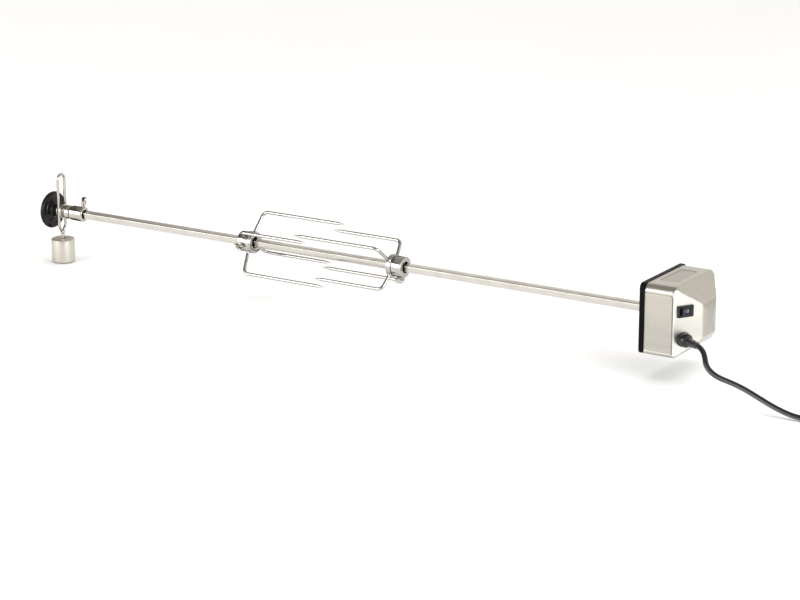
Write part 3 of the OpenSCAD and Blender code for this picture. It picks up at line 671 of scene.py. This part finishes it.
def make_cover():
    """The sheet cover: a deep-drawn shell with a ribbed recess on top and pressed flats at the sides."""
    flat_counts = {"bottom": 90, "side": 88, "top": 118}
    corner_steps = 9
    rings = []
    for x, w, z0, z1, r_low, r_high in cover_stations():
        ring = []
        # painted shade: the whole outer panel is darkened evenly
        panel_shade = OUTER_PANEL_SHADE * ease((x - SLANT_END) / 0.0008)
        corners = [(w - r_low, z0 + r_low, r_low, -90, "side"),
                   (w - r_high, z1 - r_high, r_high, 0, "top"),
                   (r_high - w, z1 - r_high, r_high, 90, "side"),
                   (r_low - w, z0 + r_low, r_low, 180, "bottom")]
        for i, (cy, cz, radius, start, flat) in enumerate(corners):
            for k in range(corner_steps):
                a = math.radians(start + 90 * k / (corner_steps - 1))
                ring.append((Vector((x, cy + radius * math.cos(a), cz + radius * math.sin(a))), panel_shade))
            ny, nz, next_r, next_start, _ = corners[(i + 1) % 4]
            b = math.radians(next_start)
            target = Vector((x, ny + next_r * math.cos(b), nz + next_r * math.sin(b)))
            begin = ring[-1][0]
            for k in range(1, flat_counts[flat]):
                p, shade_share = pressed(begin.lerp(target, k / flat_counts[flat]), flat)
                ring.append((p, max(shade_share, panel_shade)))
        rings.append(ring)
    size = len(rings[0])
    points = [p for ring in rings for p, _ in ring]
    # painted shade stored with the points, for the cover's material to darken by
    painted_shade = [shade_share for ring in rings for _, shade_share in ring]
    holes = [(SWITCH_AT, *SWITCH_HOLE), (GLAND_AT, *GLAND_HOLE)]
    across = Vector((-GLAND_OUT.y, GLAND_OUT.x, 0))

    def in_hole(p):
        return any(abs((p - at).dot(GLAND_OUT)) < 0.004 and abs((p - at).dot(across)) < wide
                   and abs(p.z - at.z) < tall for at, wide, tall in holes)

    faces = []
    for i in range(len(rings) - 1):
        for k in range(size):
            m = (k + 1) % size
            quad = (i * size + k, i * size + m, (i + 1) * size + m, (i + 1) * size + k)
            if not in_hole(sum((points[q] for q in quad), Vector()) / 4):
                faces.append(quad)
    faces.append(tuple(range((len(rings) - 1) * size, len(rings) * size)))
    cover = add_mesh("cover_shell", points, faces, FINISHES["cover_steel"], 40, marks={"painted_shade": painted_shade})
    wall = cover.modifiers.new("sheet", "SOLIDIFY")
    wall.thickness = SHEET
    wall.offset = -1
    place(cover, "motor_unit", "cover_steel", "motor_cover")


# ---------------------------------------------------------------- spit, forks and bushing

SPIT_X = (1, 0, 0)
BAR_WIDTH = 0.009525
BAR_TURN = math.radians(15)


def helix_rod(bm, base, axis, radius, height, pitch, depth, tip=0.0, sides=32):
    """Threaded rod along axis, cut as a true helix, into a bmesh."""
    axis = Vector(axis).normalized()
    side = axis.orthogonal().normalized()
    up = axis.cross(side)
    rows = max(8, int(height / pitch * 8))
    grid = []
    for i in range(rows + 1):
        h = height * i / rows
        fade = min(1.0, h / (pitch * 0.6), (height - h) / (pitch * 0.6))
        end = min(1.0, h / tip) if tip else 1.0
        row = []
        for k in range(sides):
            turn = (h / pitch - k / sides) % 1.0
            cut = abs(turn - 0.5) * 2 * depth * fade
            r = (radius - cut) * (0.55 + 0.45 * end)
            a = 2 * math.pi * k / sides
            row.append(bm.verts.new(base + axis * h + (side * math.cos(a) + up * math.sin(a)) * r))
        grid.append(row)
    for i in range(rows):
        for k in range(sides):
            m = (k + 1) % sides
            bm.faces.new((grid[i][k], grid[i][m], grid[i + 1][m], grid[i + 1][k]))
    bm.faces.new(grid[0])
    bm.faces.new(grid[-1])


def loft(bm, stations, sides=40):
    """Skin through sections; each is (centre, half vector a, half vector b, squareness)."""
    grid = []
    for centre, a, b, square in stations:
        row = []
        for k in range(sides):
            t = 2 * math.pi * k / sides
            c, s = math.cos(t), math.sin(t)
            row.append(bm.verts.new(Vector(centre) + Vector(a) * math.copysign(abs(c) ** (2 / square), c)
                                    + Vector(b) * math.copysign(abs(s) ** (2 / square), s)))
        grid.append(row)
    for i in range(len(grid) - 1):
        for k in range(sides):
            m = (k + 1) % sides
            bm.faces.new((grid[i][k], grid[i][m], grid[i + 1][m], grid[i + 1][k]))
    bm.faces.new(grid[0])
    bm.faces.new(grid[-1])


def finish_bmesh(name, bm, material, angle=40):
    """A new object from a bmesh, which it frees."""
    bmesh.ops.remove_doubles(bm, verts=bm.verts, dist=1e-7)
    bmesh.ops.recalc_face_normals(bm, faces=bm.faces)
    mesh = bpy.data.meshes.new(name)
    bm.to_mesh(mesh)
    bm.free()
    smoothed(mesh, angle)
    mesh.materials.append(material)
    obj = bpy.data.objects.new(name, mesh)
    bpy.context.scene.collection.objects.link(obj)
    return obj


def radial(turn):
    """Direction across the spit at an angle from +Y towards +Z."""
    a = math.radians(turn)
    return Vector((0, math.cos(a), math.sin(a)))


def spade_screw(node, body, x, turn, tip, neck, top, spin):
    """Thumbscrew with a flattened, rounded spade head, pointing out across the spit."""
    out = radial(turn)
    flat = (Matrix.Rotation(math.radians(spin), 3, out) @ Vector((1, 0, 0))).normalized()
    thin = out.cross(flat)
    base = Vector((x, 0, 0))
    bm = bmesh.new()
    helix_rod(bm, base + out * tip, out, 0.003, neck - tip, 0.001, 0.0005, tip=0.0012)
    height = top - neck
    sections = [(-0.6, 3.0, 3.0, 2), (0.2, 4.1, 4.1, 2), (0.9, 4.1, 4.1, 2), (1.4, 3.3, 3.0, 2),
                (2.6, 4.6, 2.3, 2.4), (4.2, 6.0, 2.0, 2.8), (5.6, 6.55, 1.9, 3), (6.8, 6.6, 1.85, 3),
                (7.9, 6.2, 1.8, 2.8), (8.8, 5.2, 1.6, 2.6), (9.3, 3.9, 1.3, 2.4), (9.5, 2.2, 0.8, 2.2)]
    loft(bm, [(base + out * (neck + h * MM * height / 0.0095), flat * a * MM, thin * b * MM, square)
              for h, a, b, square in sections])
    place(finish_bmesh(node + "_turned", bm, FINISHES["trim_chrome"], 50), body, "trim_chrome", node)


def make_bar():
    """Drawn square bar with rounded edges and chamfered ends, and its threaded stud."""
    half, soft = BAR_WIDTH / 2, 0.0007
    ring = []
    for sy, sz, start in ((1, 1, 0), (-1, 1, 90), (-1, -1, 180), (1, -1, 270)):
        for k in range(5):
            a = math.radians(start + 90 * k / 4)
            y, z = sy * (half - soft) + soft * math.cos(a), sz * (half - soft) + soft * math.sin(a)
            ring.append((y * math.cos(BAR_TURN) - z * math.sin(BAR_TURN),
                         y * math.sin(BAR_TURN) + z * math.cos(BAR_TURN)))
    stations = [(-0.957, 0.86), (-0.9563, 1.0), (-0.90, 1.0), (-0.70, 1.0), (-0.50, 1.0), (-0.30, 1.0),
                (-0.10, 1.0), (0.0137, 1.0), (0.0146, 0.84)]
    bm = bmesh.new()
    grid = [[bm.verts.new((x, y * k, z * k)) for y, z in ring] for x, k in stations]
    for a, b in zip(grid, grid[1:]):
        for i in range(len(ring)):
            j = (i + 1) % len(ring)
            bm.faces.new((a[i], a[j], b[j], b[i]))
    bm.faces.new(grid[0])
    bm.faces.new(grid[-1])
    helix_rod(bm, Vector((-0.9565, 0, 0)), (-1, 0, 0), 0.004, 0.0305, 0.00125, 0.00044)
    place(finish_bmesh("spit_bar_drawn", bm, FINISHES["bar_steel"], 30), "spit", "bar_steel", "spit_bar")


TINE_R = 0.00225
TINE_POINT = 0.010  # length of a tine's point
ROOT_R = 0.0115  # distance of a tine's root from the spit's axis
HUB_LENGTH = 0.023
BEND_R = 0.008
TINE_LEAN = math.radians(8)


def tine_path(reach, tip_x):
    """(x, distance from the spit, radius) along one tine, its x from its root."""
    leg = (reach - BEND_R * (1 - math.sin(TINE_LEAN)) - ROOT_R) / math.cos(TINE_LEAN)
    lean_x, lean_r = math.sin(TINE_LEAN), math.cos(TINE_LEAN)
    weld = (0.0002, 0.0010, 0.0016, 0.0022, 0.0026, 0.0030, 0.0036, 0.0042)
    rows = [(lean_x * s, ROOT_R + lean_r * s, TINE_R + 0.0011 * max(0.0, 1 - abs(s - 0.0026) / 0.0016))
            for s in (*weld, 0.006, leg * 0.6, leg * 0.98)]
    bend_x = leg * lean_x + BEND_R * math.cos(TINE_LEAN)
    for k in range(13):
        a = math.pi - TINE_LEAN - (math.pi / 2 - TINE_LEAN) * k / 12
        rows.append((bend_x + BEND_R * math.cos(a), reach - BEND_R + BEND_R * math.sin(a), TINE_R))
    start = tip_x - TINE_POINT
    rows += [(bend_x + (start - bend_x) * s, reach, TINE_R) for s in (0.1, 0.35, 0.6, 0.85, 0.97)]
    rows += [(start + TINE_POINT * s, reach, TINE_R + (0.0005 - TINE_R) * s)
             for s in (0.03, 0.25, 0.5, 0.75, 0.93)]
    return rows + [(tip_x - 0.0002, reach, 0.00042), (tip_x, reach, 0.0001)]


def make_fork(letter, x, way, front, screw_turn, spin):
    """Hub, two long and two short tines and their welds; way is the side the tines point to."""
    body = "fork_" + letter
    back = front - HUB_LENGTH
    outline = [(back, 0.008, 0), (back, 0.014, 0.0012), (-0.004, 0.014, 0.0004),
               (-0.004, 0.0126, 0.0003), (-0.003, 0.0126, 0.0003), (-0.003, 0.015, 0.0009),
               (front - 0.003, 0.015, 0.0004), (front - 0.0027, 0.0145, 0.0003),
               (front - 0.0022, 0.0145, 0.0003), (front - 0.0019, 0.015, 0.0004),
               (front, 0.015, 0.0009), (front, 0.009, 0.0006), (front - 0.001, 0.008, 0)]
    hub = lathe(body + "_hub_turned", rounded_profile(outline, 4), (x, 0, 0), (way, 0, 0),
                FINISHES["fork_chrome"], angle=30, closed=True)
    place(hub, body, "fork_chrome", body + "_hub")
    for kind, reach, tip, turn in (("long", 0.046, 0.137, 45), ("short", 0.0375, 0.111, -45)):
        bm = bmesh.new()
        for opposite in (0, 180):
            out = radial(screw_turn + turn + opposite)
            rows = tine_path(reach, tip)
            tube = sweep("tine", [Vector((x + way * px, 0, 0)) + out * r for px, r, _ in rows],
                         [r for _, _, r in rows], None, sides=20)
            bm.from_mesh(tube.data)
            bpy.data.objects.remove(tube)
        name = f"{body}_{kind}_tines"
        place(finish_bmesh(name + "_bent", bm, FINISHES["fork_chrome"], 60), body, "fork_chrome", name)
    spade_screw(body + "_thumbscrew", body + "_thumbscrew", x - way * 0.0075, screw_turn,
                0.0056, 0.016, 0.024, spin)


def make_bushing():
    """Flanged and grooved bushing with a ball-shaped shoulder."""
    outline = [(-0.9633, 0.0071, 0), (-0.9633, 0.011, 0.0006), (-0.9606, 0.011, 0.0005),
               (-0.9606, 0.0084, 0.0003), (-0.9586, 0.0084, 0.0005), (-0.9566, 0.0094, 0.002),
               (-0.9535, 0.0099, 0.003), (-0.9500, 0.0094, 0.003), (-0.9483, 0.0087, 0.0012),
               (-0.9460, 0.0094, 0.001), (-0.9450, 0.0105, 0.0006), (-0.9250, 0.0105, 0.0008),
               (-0.9235, 0.0090, 0.0005), (-0.9235, 0.0071, 0)]
    profile = rounded_profile(outline, 6)
    piece = lathe("support_bushing_turned", profile, (0, 0, 0), SPIT_X,
                  FINISHES["trim_chrome"], angle=30, closed=True)
    place(piece, "support_bushing", "trim_chrome", "support_bushing")
    spade_screw("bushing_thumbscrew", "bushing_thumbscrew", -0.9285, 75, 0.0069, 0.0155, 0.025, -25)


# ---------------------------------------------------------------- counterweight and knob

LOOP_X = -0.9658
LOOP_WIRE = 0.002


def make_loop():
    """One bent wire: up a leg, round the top and down again, both ends brazed to the stem."""
    half, top, low, knee = 0.0073, 0.0467, -0.0200, 0.005
    turn = math.radians(36)
    leg = []
    for k in range(7):
        a = -turn + turn * k / 6
        leg.append((half - knee + knee * math.cos(a), low + knee * math.sin(a)))
    ends = [(0.0014, -0.0302), (0.0036, -0.0271)]
    right = ends + leg + [(half, low + (top - low) * s) for s in (0.15, 0.4, 0.7, 0.95)]
    bend = [(half * math.cos(math.pi * k / 20), top + half * math.sin(math.pi * k / 20)) for k in range(21)]
    left = [(-y, z) for y, z in reversed(right)]
    path = [Vector((LOOP_X, y, z)) for y, z in right + bend + left]
    wire = sweep("wire", path, LOOP_WIRE, None, sides=24)
    bm = bmesh.new()
    bm.from_mesh(wire.data)
    bpy.data.objects.remove(wire)
    stem = rounded_profile([(-0.0548, 0.0024, 0), (-0.0330, 0.0024, 0.001), (-0.0322, 0.0032, 0.0008),
                            (-0.0303, 0.0033, 0.0009), (-0.0288, 0.0022, 0.0008), (-0.0284, 0.0006, 0)], 5)
    rod = lathe("rod", stem, (LOOP_X, 0, 0), (0, 0, 1), None, turns=40)
    bm.from_mesh(rod.data)
    bpy.data.objects.remove(rod)
    place(finish_bmesh("weight_loop_bent", bm, FINISHES["trim_chrome"], 60), "counterweight",
          "trim_chrome", "weight_loop")


def make_weight():
    """Turned weight with a bevelled foot, a fine groove near its top and a recess round the stem."""
    low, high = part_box("counterweight")
    radius = (high.y - low.y) / 2
    tall = high.z - low.z
    outline = [(0, 0.0001, 0), (0, radius - 0.0009, 0.0003), (0.0009, radius, 0.0003),
               (tall - 0.0026, radius, 0.0002), (tall - 0.0023, radius - 0.0003, 0.0001),
               (tall - 0.0018, radius - 0.0003, 0.0001), (tall - 0.0015, radius, 0.0002),
               (tall - 0.0008, radius, 0.0003), (tall, radius - 0.0008, 0.0003), (tall, 0.0042, 0.0004),
               (tall - 0.0010, 0.0030, 0.0003), (tall - 0.0012, 0.0024, 0)]
    piece = lathe("counterweight_turned", rounded_profile(outline, 4), ((low.x + high.x) / 2, 0, low.z),
                  (0, 0, 1), FINISHES["weight_steel"], turns=128, angle=25)
    place(piece, "counterweight", "weight_steel", "counterweight")


def make_knob():
    """Knob with a domed outer face, a rounded rim and a grooved, stepped inner face."""
    outline = [(-0.9920, 0.0001, 0), (-0.9919, 0.0040, 0.002), (-0.9906, 0.0120, 0.006),
               (-0.9878, 0.0205, 0.006), (-0.9846, 0.0262, 0.003), (-0.9822, 0.0270, 0.002),
               (-0.9798, 0.0262, 0.002),
               (-0.9790, 0.0240, 0.001), (-0.9792, 0.0205, 0.0008), (-0.9801, 0.0194, 0.0006),
               (-0.9801, 0.0180, 0.0006), (-0.9791, 0.0168, 0.0008), (-0.9790, 0.0130, 0.001),
               (-0.9784, 0.0100, 0.0015), (-0.9764, 0.0085, 0.0015), (-0.9710, 0.0080, 0.001),
               (-0.9700, 0.0070, 0.0004), (-0.9700, 0.0060, 0), (-0.9870, 0.0060, 0), (-0.9870, 0.0001, 0)]
    piece = lathe("knob_moulded", rounded_profile(outline, 6), (0, 0, 0), SPIT_X, FINISHES["knob_black"],
                  turns=128, angle=40)
    place(piece, "knob", "knob_black", "knob")


# ---------------------------------------------------------------- pieces on the cord


def make_strain_relief():
    """Tapered boot, ringed so that it bends evenly."""
    corners = [(0.0130, 0.0035, 0), (0.0130, 0.0056, 0.0003), (0.0150, 0.0056, 0.0004)]
    rings = 5
    for k in range(rings):
        start = 0.0165 + k * 0.0032
        radius = 0.0055 - 0.00024 * k
        corners += [(start - 0.0006, 0.0043, 0.0003), (start, radius, 0.0005),
                    (start + 0.0021, radius - 0.0001, 0.0006), (start + 0.0024, 0.0043, 0.0003)]
    corners += [(0.0328, 0.0042, 0.0004), (0.0330, 0.0035, 0)]
    piece = lathe("strain_relief_boot", rounded_profile(corners, 4), GLAND_AT, GLAND_OUT,
                  FINISHES["cord_rubber"], turns=48, angle=60, closed=True)
    return place(piece, "motor_unit", "cord_rubber", "strain_relief")


def make_plug():
    """Moulded three-pin plug: tapered cord sleeve, shoulders and a ribbed grip."""
    bm = bmesh.new()
    sections = [(0.0, 4.2, 4.2, 2), (1.0, 4.6, 4.6, 2), (5.0, 5.2, 5.2, 2), (9.0, 6.2, 6.0, 2.1),
                (11.5, 8.2, 7.4, 2.4), (13.5, 10.4, 9.0, 2.8), (15.5, 11.6, 10.0, 3.2)]
    for k in range(6):
        x = 17.0 + 2.6 * k
        sections += [(x, 11.9, 10.4, 3.6), (x + 0.5, 11.4, 9.9, 3.6), (x + 1.2, 11.4, 9.9, 3.6),
                     (x + 1.7, 11.9, 10.4, 3.6)]
    sections += [(34.0, 12.2, 11.0, 4), (38.0, 12.45, 11.4, 4.4), (41.0, 12.45, 11.4, 4.6),
                 (41.7, 12.1, 11.1, 4.6), (42.0, 11.5, 10.5, 4.6)]
    loft(bm, [(PLUG_AT + Vector((-x * MM, 0, 0)), (0, a * MM, 0), (0, 0, b * MM), square)
              for x, a, b, square in sections], sides=64)
    plug = finish_bmesh("plug_moulding", bm, FINISHES["cord_rubber"], 50)
    return place(plug, "motor_unit", "cord_rubber", "plug_body")


def make_tie():
    """Flat strap round the coil."""
    low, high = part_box("cord_tie")
    turn = math.radians(-30)
    out = Vector((math.cos(turn), math.sin(turn), 0))
    along = Vector((-out.y, out.x, 0))
    centre = COIL_AT + out * COIL_RADII[1] + Vector((0, 0, (low.z + high.z) / 2))
    half_out, half_up, corner = 0.0113, 0.0073, 0.0036
    ring = []
    for cx, cz, start in ((1, 1, 0), (-1, 1, 90), (-1, -1, 180), (1, -1, 270)):
        for k in range(7):
            a = math.radians(start + 90 * k / 6)
            ring.append((cx * (half_out - corner) + corner * math.cos(a),
                         cz * (half_up - corner) + corner * math.sin(a)))
    wide, thick = 0.0037, 0.0004
    section = [(-wide, -thick), (wide, -thick), (wide * 0.98, thick), (wide * 0.5, thick * 1.25),
               (-wide * 0.5, thick * 1.25), (-wide * 0.98, thick)]
    points, faces = [], []
    for i, (a, b) in enumerate(ring):
        before, after = Vector(ring[i - 1]), Vector(ring[(i + 1) % len(ring)])
        d = (after - before).normalized()
        normal = out * d.y + Vector((0, 0, -d.x))
        for s, t in section:
            points.append(centre + out * a + Vector((0, 0, b)) + along * s + normal * t)
    n, size = len(section), len(ring)
    for i in range(size):
        for k in range(n):
            here, there, m = i * n, (i + 1) % size * n, (k + 1) % n
            faces.append((here + k, here + m, there + m, there + k))
    strap = add_mesh("cord_strap", points, faces, FINISHES["tie_plastic"], 35)
    return place(strap, "motor_unit", "tie_plastic", "cord_tie")


def make_switch_marks():
    """Printed on and off marks, one on each half of the rocker."""
    rocker = NODES["switch_rocker"].data
    halves = {}
    for face in rocker.polygons:
        normal = face.normal
        if normal.dot(GLAND_OUT) > 0.93 and abs(normal.z) < 0.1:
            key = round(math.degrees(math.atan2(normal.y, normal.x)))
            halves.setdefault(key, []).append(face)
    sides = sorted(halves.values(), key=lambda group: -sum(f.area for f in group))[:2]
    for name, group in zip(("mark_on", "mark_off"), sorted(sides, key=lambda g: g[0].center.x)):
        area = sum(f.area for f in group)
        middle = sum((f.center * f.area for f in group), Vector()) / area
        normal = group[0].normal.copy()
        across = Vector((-normal.y, normal.x, 0)).normalized()
        up = Vector((0, 0, 1))
        if name == "mark_on":
            outline = [[(-0.0003, -0.0016), (0.0003, -0.0016), (0.0003, 0.0016), (-0.0003, 0.0016)]]
        else:
            ring = [(math.cos(math.pi * k / 16), math.sin(math.pi * k / 16)) for k in range(32)]
            outline = [[(u * 0.0010, v * 0.0014), (u2 * 0.0010, v2 * 0.0014),
                        (u2 * 0.0016, v2 * 0.0020), (u * 0.0016, v * 0.0020)]
                       for (u, v), (u2, v2) in zip(ring, ring[1:] + ring[:1])]
        points, faces = [], []
        for corners in outline:
            faces.append(tuple(range(len(points), len(points) + 4)))
            points += [middle + normal * 0.00004 + across * u + up * v for u, v in corners]
        mark = add_mesh(name, points, faces, FINISHES["mark_white"], outward=False)
        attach(mark, "switch_rocker")


make_cover()
make_bar()
make_fork("a", -0.6305, 1, 0.008, 191, -50)
make_fork("b", -0.3975, -1, 0.004, 274, 0)
make_bushing()
make_loop()
make_weight()
make_knob()
make_switch_marks()
for node, width in (("mounting_plate", 0.0009), ("switch_body", 0.0004), ("switch_rocker", 0.0003),
                    ("cord_gland", 0.0004), ("clamp_washer", 0.0002), ("plug_pins", 0.0003)):
    soften(node, width)
relief, plug, tie = make_strain_relief(), make_plug(), make_tie()
cord, cord_length = make_cord()

# ---------------------------------------------------------------- stage and light

FLOOR_SIZE = 60.0


def make_stage():
    """A plain floor under the coil, wide enough to fill every view."""
    centre = VIEW_TARGET
    half = FLOOR_SIZE / 2
    corners = [(centre.x + sx * half, centre.y + sy * half, FLOOR_Z)
               for sx, sy in ((-1, -1), (1, -1), (1, 1), (-1, 1))]
    floor = add_mesh("floor", corners, [(0, 1, 2, 3)], stage_paint("floor_white", (0.88, 0.88, 0.88)))


def area_light(name, at, aim, size, power, colour=(1, 1, 1), diffuse=True):
    """Soft box, out of the camera's sight; without diffuse it shows in reflections only."""
    data = bpy.data.lights.new(name, "AREA")
    data.shape = "RECTANGLE"
    data.size, data.size_y = size
    data.energy = power
    data.color = colour
    lamp = bpy.data.objects.new(name, data)
    lamp.location = at
    lamp.rotation_mode = "QUATERNION"
    lamp.rotation_quaternion = (Vector(aim) - Vector(at)).to_track_quat("-Z", "Y")
    lamp.visible_camera = False
    lamp.visible_diffuse = diffuse
    bpy.context.scene.collection.objects.link(lamp)


def make_light():
    """A bright sky behind, a dim one in front and to the far left, a broad sun and three soft boxes."""
    world = bpy.data.worlds.new("studio")
    bpy.context.scene.world = world
    world.use_nodes = True
    tree = world.node_tree
    coords = tree.nodes.new("ShaderNodeTexCoord")
    split = tree.nodes.new("ShaderNodeSeparateXYZ")
    tree.links.new(coords.outputs["Generated"], split.inputs[0])

    def ramp(*stops):
        made = tree.nodes.new("ShaderNodeValToRGB")
        tree.links.new(split.outputs["Z"], made.inputs[0])
        elements = made.color_ramp.elements
        while len(elements) < len(stops):
            elements.new(0.5)
        for element, (position, level) in zip(elements, stops):
            element.position = position
            element.color = (level, level * 0.97, level * 0.93, 1)
        return made.outputs[0]

    def map_range(value, *limits):
        made = tree.nodes.new("ShaderNodeMapRange")
        for name, limit in zip(("From Min", "From Max", "To Min", "To Max"), limits):
            made.inputs[name].default_value = limit
        tree.links.new(value, made.inputs["Value"])
        return made.outputs[0]

    back = ramp((0.0, 0.95), (0.15, 1.1), (0.58, 1.12), (0.74, 0.55), (1.0, 0.42))
    front = ramp((0.0, 0.5), (0.3, 0.45), (0.5, 0.42), (0.8, 0.4), (1.0, 0.4))
    side = map_range(split.outputs["Y"], -0.3, 0.3)
    mix = tree.nodes.new("ShaderNodeMix")
    mix.data_type = "RGBA"
    tree.links.new(side, mix.inputs[0])
    tree.links.new(front, mix.inputs[6])
    tree.links.new(back, mix.inputs[7])
    left = map_range(split.outputs["X"], -0.62, -0.54, 0.25, 1.0)
    tree.links.new(mix.outputs[2], tree.nodes["Background"].inputs["Color"])
    tree.links.new(left, tree.nodes["Background"].inputs["Strength"])
    sun = bpy.data.lights.new("overhead", "SUN")
    sun.energy = 1.75
    sun.angle = math.radians(70)
    lamp = bpy.data.objects.new("overhead", sun)
    lamp.rotation_euler = (math.radians(-8), math.radians(6), 0)
    lamp.visible_glossy = False
    bpy.context.scene.collection.objects.link(lamp)
    area_light("right_box", (1.9, -0.55, 0.5), (0, 0, 0), (1.8, 1.4), 50, (0.93, 0.97, 1.0))
    area_light("right_card", (0.38, -0.17, FLOOR_Z + 0.001), (0.38, -0.17, 1), (0.54, 0.44), 1.15,
               (0.84, 0.92, 1.0), diffuse=False)
    area_light("front_box", (-1.95, -2.4, 0.8), (-0.4, 0, 0), (2.6, 1.5), 60)


make_stage()
make_light()
bpy.context.scene.view_settings.view_transform = "Standard"
